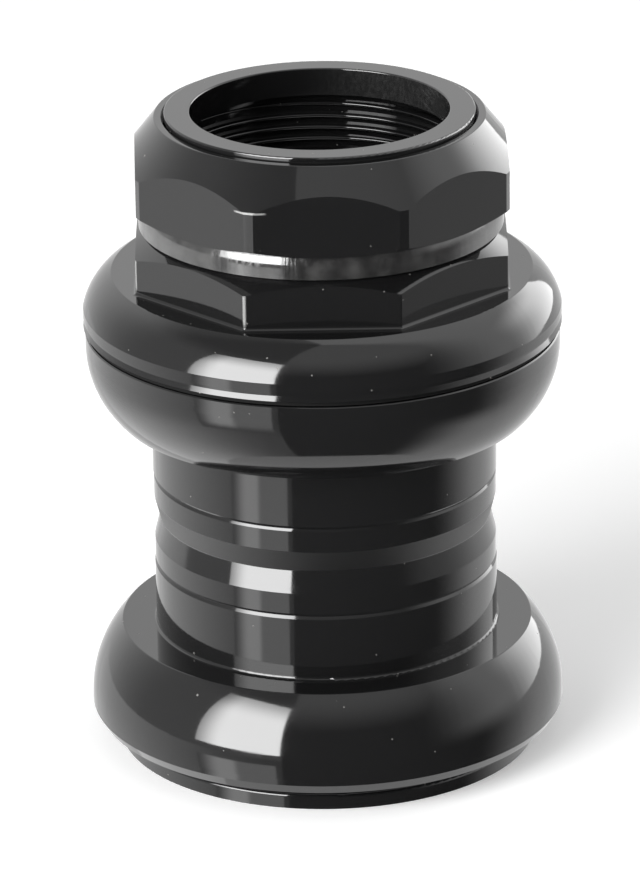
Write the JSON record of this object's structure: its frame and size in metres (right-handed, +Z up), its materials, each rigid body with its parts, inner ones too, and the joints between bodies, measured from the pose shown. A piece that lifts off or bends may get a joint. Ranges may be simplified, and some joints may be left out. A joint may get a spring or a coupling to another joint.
{
  "type": "bicycle headset",
  "caption": "Threaded bicycle headset in black anodised aluminium: lock nut, washer, adjusting cup, two press-fit cups with sealed cartridge bearings, and a crown race.",
  "frame": {"origin": "centre of the crown race's base, where it meets the fork crown or the table", "axes": "+Z up along the steering axis; -Y is the side seen in the picture, square to one flat of the adjusting cup"},
  "size_m": [0.0418, 0.0418, 0.0578],
  "materials": {
    "black_anodised": "glossy black anodised, machined and polished",
    "blackened_steel": "blackened steel worn bright on its rounded edge",
    "bearing_steel": "ground bearing steel",
    "black_rubber": "matt black rubber",
    "cage_nylon": "natural nylon"
  },
  "bodies": {
    "head_cups": {"upper_cup": "black_anodised", "lower_cup": "black_anodised", "upper_outer_race": "bearing_steel", "upper_seated_seal": "black_rubber", "upper_cone_seal": "black_rubber", "lower_outer_race": "bearing_steel", "lower_seated_seal": "black_rubber", "lower_cone_seal": "black_rubber"},
    "top_stack": {"adjusting_cup": "black_anodised", "rim_seal": "black_rubber", "spacer_washer": "blackened_steel", "lock_nut": "black_anodised", "lock_nut_ring": "black_anodised", "upper_inner_race": "bearing_steel"},
    "crown": {"crown_race": "black_anodised", "crown_seal": "black_rubber", "lower_inner_race": "bearing_steel"},
    "upper_ball_set": {"upper_balls": "bearing_steel", "upper_cage": "cage_nylon"},
    "lower_ball_set": {"lower_balls": "bearing_steel", "lower_cage": "cage_nylon"}
  },
  "joints": [
    {"name": "top_turn", "type": "hinge", "parent": "head_cups", "child": "top_stack", "pos_m": [0, 0, 0.0355], "axis": [0, 0, 1], "continuous": true},
    {"name": "crown_turn", "type": "hinge", "parent": "head_cups", "child": "crown", "pos_m": [0, 0, 0.0058], "axis": [0, 0, 1], "continuous": true},
    {"name": "upper_balls_turn", "type": "hinge", "parent": "head_cups", "child": "upper_ball_set", "pos_m": [0, 0, 0.0355], "axis": [0, 0, 1], "continuous": true},
    {"name": "lower_balls_turn", "type": "hinge", "parent": "head_cups", "child": "lower_ball_set", "pos_m": [0, 0, 0.0058], "axis": [0, 0, 1], "continuous": true}
  ],
  "couplings": [
    {"joint": "upper_balls_turn", "follows": "top_turn", "ratio": 0.46},
    {"joint": "lower_balls_turn", "follows": "crown_turn", "ratio": 0.46}
  ]
}
